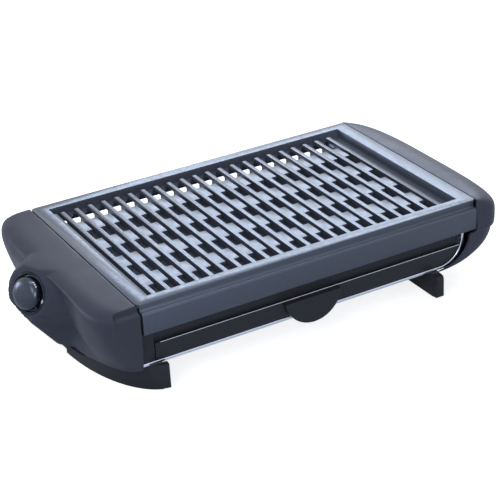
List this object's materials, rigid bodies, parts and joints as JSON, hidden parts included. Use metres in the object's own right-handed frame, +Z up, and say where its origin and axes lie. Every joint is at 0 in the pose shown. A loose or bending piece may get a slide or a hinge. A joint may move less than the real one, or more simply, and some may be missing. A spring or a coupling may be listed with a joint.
{
  "type": "electric table grill",
  "caption": "Open electric table grill: cast ribbed plate over a tubular element, control housing with dial, end cap, and a front drip tray.",
  "frame": {"origin": "centre of the whole box at table level, under the feet", "axes": "+X along the grill from the control housing to the end cap, -Y towards the cook and the tray grip, +Z up"},
  "size_m": [0.5138, 0.286, 0.097],
  "materials": {
    "plate_enamel": "die-cast, grey-blue non-stick coating, fine speckle",
    "housing_plastic": "satin moulded, blue-grey",
    "cap_plastic": "satin moulded, blue-grey",
    "dark_plastic": "fine moulded grain",
    "knob_plastic": "polished",
    "pointer_black": "satin moulded",
    "steel_sheet": "zinc-plated, light scratches",
    "bright_strip": "bright folded edge",
    "element_sheath": "heat-browned steel sheath",
    "ceramic": "unglazed ceramic",
    "brass_tab": "plain",
    "copper_bulb": "bare copper",
    "lamp_clear": "clear lens",
    "rubber_pad": "matt",
    "screw_steel": "zinc-plated",
    "tray_metal": "pressed sheet",
    "tray_plastic": "satin moulded"
  },
  "bodies": {
    "base": {"left_housing": "housing_plastic", "left_bottom_cover": "dark_plastic", "dial_cup": "dark_plastic", "right_end_cap": "cap_plastic", "base_trough": "steel_sheet", "trough_edge_trim": "bright_strip", "front_rail": "dark_plastic", "rear_rail": "dark_plastic", "left_bulkhead": "steel_sheet", "right_bulkhead": "steel_sheet", "heating_element": "element_sheath", "element_bushes": "ceramic", "element_terminals": "brass_tab", "element_supports": "steel_sheet", "thermostat_body": "ceramic", "thermostat_bracket": "steel_sheet", "thermostat_nut": "screw_steel", "sensor_bulb": "copper_bulb", "terminal_block": "ceramic", "indicator_lamp": "lamp_clear", "lamp_holder": "dark_plastic", "cord_inlet": "dark_plastic", "front_left_foot": "dark_plastic", "rear_left_foot": "dark_plastic", "front_right_foot": "dark_plastic", "rear_right_foot": "dark_plastic", "foot_pads": "rubber_pad", "cover_screws": "screw_steel", "foot_screws": "screw_steel", "rail_screws": "screw_steel", "tray_runners": "dark_plastic"},
    "plate": {"grill_plate": "plate_enamel", "plate_pegs": "plate_enamel"},
    "tray": {"tray_pan": "tray_metal", "tray_front": "tray_plastic", "tray_grip": "tray_plastic", "tray_screws": "screw_steel"},
    "dial": {"knob": "knob_plastic", "knob_pointer": "pointer_black", "thermostat_shaft": "screw_steel"}
  },
  "joints": [
    {"name": "knob_turn", "type": "hinge", "parent": "base", "child": "dial", "pos_m": [-0.24305, 0, 0.0708], "axis": [-0.8585, -0.3822, 0.342], "range_deg": [-270, 0]},
    {"name": "tray_slide", "type": "slide", "parent": "base", "child": "tray", "axis": [0, -1, 0], "range_m": [0, 0.225]},
    {"name": "plate_lift", "type": "slide", "parent": "base", "child": "plate", "axis": [0, 0, 1], "range_m": [0, 0.08]}
  ]
}
